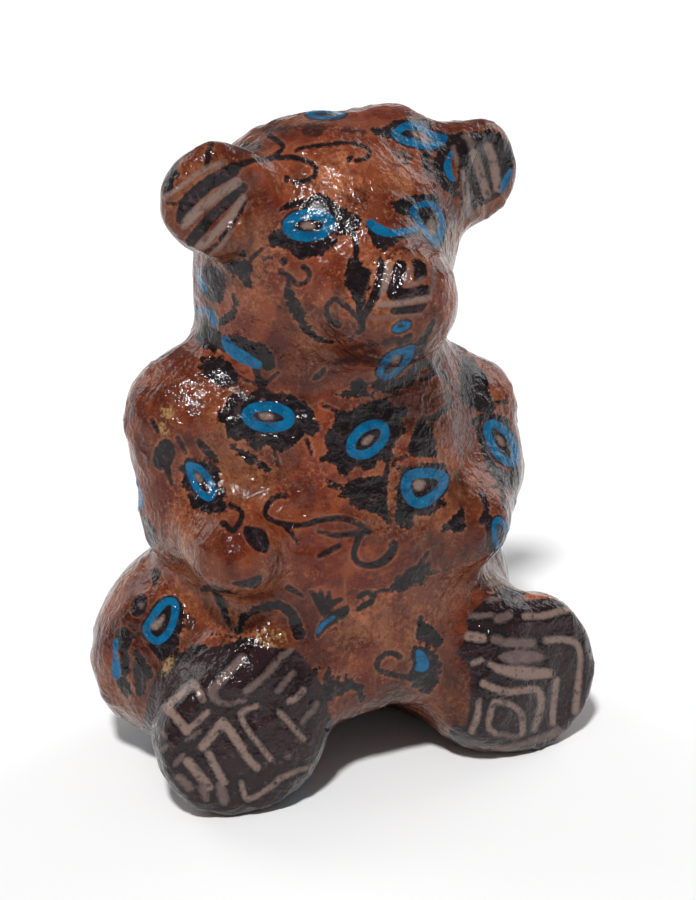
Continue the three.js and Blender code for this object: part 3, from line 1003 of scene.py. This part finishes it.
class Graph:
    def __init__(self, name):
        self.material = bpy.data.materials.new(name)
        self.material.use_nodes = True
        self.tree = self.material.node_tree
        self.shader = self.tree.nodes["Principled BSDF"]
        self.place = self.add("ShaderNodeTexCoord", {}, {}, "Object")

    # A node of any type, with its settings, its sockets' values or links, and the output wanted.
    def add(self, kind, settings, sockets, output=0):
        node = self.tree.nodes.new(kind)
        for name, value in settings.items():
            setattr(node, name, value)
        for name, value in sockets.items():
            self.feed(node.inputs[name], value)
        return Wire(self, node.outputs[output])

    def feed(self, socket, value):
        if isinstance(value, Wire):
            self.tree.links.new(value.socket, socket)
        else:
            socket.default_value = value

    def field(self, name):
        return self.add("ShaderNodeAttribute", {"attribute_name": name}, {}, "Fac")

    # Soft noise around zero, from about -0.5 to 0.5, over the given size in metres
    def grain(self, size, detail=2, roughness=0.5, place=None):
        sockets = {"Vector": place or self.place, "Scale": 1 / size, "Detail": detail, "Roughness": roughness}
        return self.add("ShaderNodeTexNoise", {}, sockets) - 0.5

    def stretched(self, scale):
        return self.add("ShaderNodeMapping", {}, {"Vector": self.place, "Scale": scale})

    def mix(self, share, first, second, blend="MIX"):
        sockets = {0: share, 6: first, 7: second}
        return self.add("ShaderNodeMix", {"data_type": "RGBA", "blend_type": blend}, sockets, 2)


# A colour as the picture's own 0 to 255 values, in Blender's linear light.
def colour(red, green, blue):
    def linear(value):
        share = value / 255
        return share / 12.92 if share <= 0.04045 else ((share + 0.055) / 1.055) ** 2.4

    return (linear(red), linear(green), linear(blue), 1)


paper = {
    "tan": colour(126, 61, 36),
    "rust": colour(96, 36, 20),
    "pink": colour(166, 102, 68),
    "maroon": colour(54, 21, 16),
    "ink": colour(11, 8, 10),
    "plum": colour(40, 24, 28),
    "green": colour(19, 24, 23),
    "outline": colour(150, 104, 80),
    "blue": colour(0, 92, 132),
    "blueDeep": colour(0, 64, 100),
    "blueLight": colour(22, 128, 162),
    "pale": colour(118, 100, 94),
    "paleWarm": colour(127, 104, 93),
    "faded": colour(88, 68, 66),
    "mazeGround": colour(48, 28, 30),
    "bare": colour(150, 118, 78),
    "orange": colour(148, 74, 36),
}


# Noise that mottles the paper: size, detail and roughness of each, from fine to wide.
mottleGrains = {
    "tiny": (0.5 * mm, 2, 0.6),
    "small": (1.3 * mm, 3, 0.6),
    "coarse": (2.6 * mm, 3, 0.62),
    "broad": (9 * mm, 3, 0.55),
    "wide": (24 * mm, 2, 0.5),
}

varnish = {
    "specular": 0.3,
    "roughness": 0.09,
    "smoothest": 0.045,
    "paintedShadeBelow": 0.01,  # painted shade: the colour is darkened low down, to offset the light that the pale floor throws up
    "paintedShadeEndsAbove": 0.085,
    "paintedShadeDepth": 0.42,
}


# The paper between the marks: tan and rust, washed, streaked and scratched, scrap by scrap, with painted
# shade that darkens it low down.
def paperGround(graph, mottle):
    tiny, small, coarse, broad, wide = mottle
    mix = graph.mix
    streak = graph.grain(7 * mm, 3, 0.6, graph.stretched((1, 1, 0.22)))
    wash = graph.grain(15 * mm, 4, 0.68)
    scratch = graph.grain(2.2 * mm, 3, 0.6, graph.stretched((1, 1, 0.14)))
    ground = mix((broad * 4 + 0.5 + small * 1.4).between(0.2, 0.8), paper["tan"], paper["rust"])
    ground = mix((small * 2.2 + tiny + wide * 3.4 + coarse).between(0.02, 0.85), ground, paper["pink"])
    ground = mix((streak * 3 + wide * 1.5 + tiny * 0.6).between(0.25, 0.95), ground, paper["maroon"])
    ground = mix((wash * 4.4 + small * 1.4).between(0.1, 0.9) * 0.8, ground, paper["maroon"])
    ground = mix((scratch * 4 + wide - 0.35).between(0.1, 0.8) * 0.5, ground, paper["outline"])
    # Painted shade: the colour is darkened by up to 0.42 near the ground, easing off by 8.5 cm up, against
    # the pale floor's bounce light. The scrap's own random tone rides on the same factor.
    height = graph.add("ShaderNodeSeparateXYZ", {}, {0: graph.place}, "Z")
    clearOfPaintedShade = height.between(varnish["paintedShadeBelow"], varnish["paintedShadeEndsAbove"])
    shade = (graph.field("sheet") - 0.5) * 0.5 + 0.8 + tiny * 0.3
    shade = shade * (clearOfPaintedShade * varnish["paintedShadeDepth"] + (1 - varnish["paintedShadeDepth"]))
    return mix(1, ground, graph.add("ShaderNodeCombineColor", {}, {0: shade, 1: shade, 2: shade}), "MULTIPLY")


# The dark print: foliage, lines and the maze's sheet, with a thin pale halo round them.
def darkPrint(graph, mottle, ground, maze):
    tiny, small, coarse, broad, wide = mottle
    mix = graph.mix
    rag = coarse * 2.3 + small * 1.3 + tiny * 0.4
    blot = graph.field("blot") + rag
    ink = graph.field("ink") + small * 0.7 + tiny * 0.2
    faint = graph.field("faint") + rag
    dark = blot.least(ink)
    halo = ((dark - 0.42).size() - 0.26 + coarse * 0.5).inside(0.3) * (coarse * 3 + 0.45).between(0.1, 0.7)
    ground = mix(halo * 0.28, ground, paper["outline"])
    ground = mix(faint.inside(0.7) * 0.72, ground, paper["ink"])
    inkTone = mix((coarse * 2.4 + 0.4 + tiny).between(0, 1), paper["ink"], paper["plum"])
    inkTone = mix((broad * 3 - 0.1).between(0, 0.6), inkTone, paper["green"])
    fleck = (coarse * 3.4 + small * 1.6 + tiny + wide * 1.2 - 0.28).between(0.05, 0.8) * 0.5
    inkTone = mix(fleck, inkTone, paper["faded"])
    palest = graph.field("pale").least(graph.field("faded"))
    beyond = (1.5 - palest + coarse * 4 + small).inside(1.2)  # the maze is black beside its pale lines
    mazeTone = mix(beyond * 0.6, inkTone, paper["mazeGround"])
    ground = mix(maze.inside(0.4), ground, mazeTone)
    return mix(dark.inside(0.42), ground, inkTone)


# What is printed or torn over the dark: blue rings, pale lines and the under-paper.
def brightPrint(graph, mottle, ground, maze):
    tiny, small, coarse = mottle[:3]
    mix = graph.mix
    blueTone = mix((coarse * 2.6 + 0.5).between(0.2, 0.9), paper["blue"], paper["blueDeep"])
    blueTone = mix((small * 2.2 + tiny).between(0.15, 0.8), blueTone, paper["blueLight"])
    ground = mix((graph.field("blue") + small * 0.5).inside(0.36), ground, blueTone)
    paleTone = mix((coarse * 3 + 0.5).between(0, 1), paper["pale"], paper["paleWarm"])
    paleTone = mix((small * 2 + tiny).between(0.2, 1), paleTone, paper["faded"])
    widen = maze.inside(1.5) * 0.08  # the maze's lines are a little broader
    worn = (coarse * 3 + small * 0.5 + 0.8).between(0, 0.75)
    dim = mix((coarse * 2 + tiny).between(-0.7, 0.6), paper["faded"], paper["pale"])
    dimLine = (graph.field("faded") - widen + small * 1.4 + coarse * 1.2).inside(0.9)
    paleLine = (graph.field("pale") - widen + small * 1.2 + coarse * 0.8).inside(0.75)
    ground = mix(dimLine * 0.8, ground, dim)
    ground = mix(paleLine * worn, ground, paleTone)
    ground = mix((graph.field("warmLine") + small * 0.6).inside(0.3), ground, paper["orange"])
    torn = (graph.field("bare") + coarse * 3 + small).inside(0.6)
    return mix(torn * (coarse * 4 + small * 3 + 0.4).between(0.1, 0.9) * 0.85, ground, paper["bare"])


# Height of the varnished surface in millimetres: crinkles, creases, brush strokes and torn edges.
def varnishRelief(graph, tear):
    crinkle = graph.grain(0.8 * mm, 2, 0.6) * 0.16 + graph.grain(2.8 * mm, 2, 0.5) * 0.36
    crease = (graph.grain(6 * mm, 2, 0.5).size() * -1 + 0.09).most(0) * 1.5
    brushed = graph.grain(1.6 * mm, 2, 0.5, graph.stretched((1, 1, 0.16))) * 0.16
    return crinkle + crease + brushed + tear.least(0.3) * -0.25


def varnishedPaper():
    graph = Graph("varnished_print")
    mottle = [graph.grain(*settings) for settings in mottleGrains.values()]
    small, broad = mottle[1], mottle[3]
    tear = graph.field("tear")
    maze = graph.field("maze") + small * 0.5
    ground = paperGround(graph, mottle)
    ground = darkPrint(graph, mottle, ground, maze)
    ground = brightPrint(graph, mottle, ground, maze)
    seam = (tear - 0.16 + small * 0.2).inside(0.2) * (broad * 4 + 0.35).between(0, 0.7)
    ground = graph.mix(seam * 0.35, ground, paper["maroon"])
    relief = varnishRelief(graph, tear)
    bump = graph.add("ShaderNodeBump", {}, {"Strength": 1.0, "Distance": mm, "Height": relief})
    gloss = (small * 0.14 + broad * 0.3 + varnish["roughness"]).most(varnish["smoothest"])
    graph.feed(graph.shader.inputs["Base Color"], ground)
    graph.feed(graph.shader.inputs["Roughness"], gloss)
    graph.feed(graph.shader.inputs["Normal"], bump)
    graph.feed(graph.shader.inputs["Specular IOR Level"], varnish["specular"])
    return graph.material


stage = {
    "floorSize": 80,
    "floorColour": (0.92, 0.92, 0.92, 1),
    "floorRoughness": 0.9,
    "key": {"azimuth": -38, "elevation": 55, "distance": 2.0, "width": 6, "power": 2.9},  # width in degrees
    "left": {"azimuth": -150, "elevation": 28, "distance": 1.2, "size": 0.8, "power": 3.4},
    "right": {"azimuth": 108, "elevation": 28, "distance": 1.2, "size": 0.8, "power": 3.4},
    "skyLight": 0.2,
    "horizon": (0.02, 0.14),  # heights that the pale sky ends between
}


def addLight(name):
    settings = stage[name]
    light = bpy.data.lights.new(name, "SUN" if name == "key" else "AREA")
    if name == "key":
        light.angle = math.radians(settings["width"])
    else:
        light.shape = "DISK"
        light.size = settings["size"]
    light.energy = settings["power"]
    lamp = bpy.data.objects.new(name, light)
    back = directionTo(settings["azimuth"], settings["elevation"])
    lamp.location = photo["aim"] + back * settings["distance"]
    lamp.rotation_mode = "QUATERNION"
    lamp.rotation_quaternion = (-back).to_track_quat("-Z", "Y")
    bpy.context.scene.collection.objects.link(lamp)


def addFloor():
    form = bmesh.new()
    bmesh.ops.create_grid(form, x_segments=1, y_segments=1, size=stage["floorSize"] / 2)
    mesh = bpy.data.meshes.new("floor")
    form.to_mesh(mesh)
    form.free()
    floor = bpy.data.objects.new("floor", mesh)
    bpy.context.scene.collection.objects.link(floor)
    graph = Graph("pale_floor")
    graph.feed(graph.shader.inputs["Base Color"], stage["floorColour"])
    graph.feed(graph.shader.inputs["Roughness"], stage["floorRoughness"])
    mesh.materials.append(graph.material)


# A sky that is pale at the horizon and dim overhead.
def addSky():
    world = bpy.data.worlds.new("studio")
    world.use_nodes = True
    sky = world.node_tree.nodes["Background"]
    sky.inputs["Color"].default_value = (1, 1, 1, 1)
    nodes, links = world.node_tree.nodes, world.node_tree.links
    direction = nodes.new("ShaderNodeTexCoord")
    parts = nodes.new("ShaderNodeSeparateXYZ")
    level = nodes.new("ShaderNodeMapRange")
    for socket, value in zip(level.inputs[1:], (*stage["horizon"], 1, stage["skyLight"])):
        socket.default_value = value
    links.new(direction.outputs["Generated"], parts.inputs[0])
    links.new(parts.outputs["Z"], level.inputs["Value"])
    links.new(level.outputs["Result"], sky.inputs["Strength"])
    bpy.context.scene.world = world


bear = makeSkin()
bear.data.materials.clear()
bear.data.materials.append(varnishedPaper())
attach(bear, "root")
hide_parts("bear")
print("bear papered and varnished")

addFloor()
addSky()
for name in ("key", "left", "right"):
    addLight(name)
bpy.context.scene.view_settings.view_transform = "Standard"
print("stage lit")
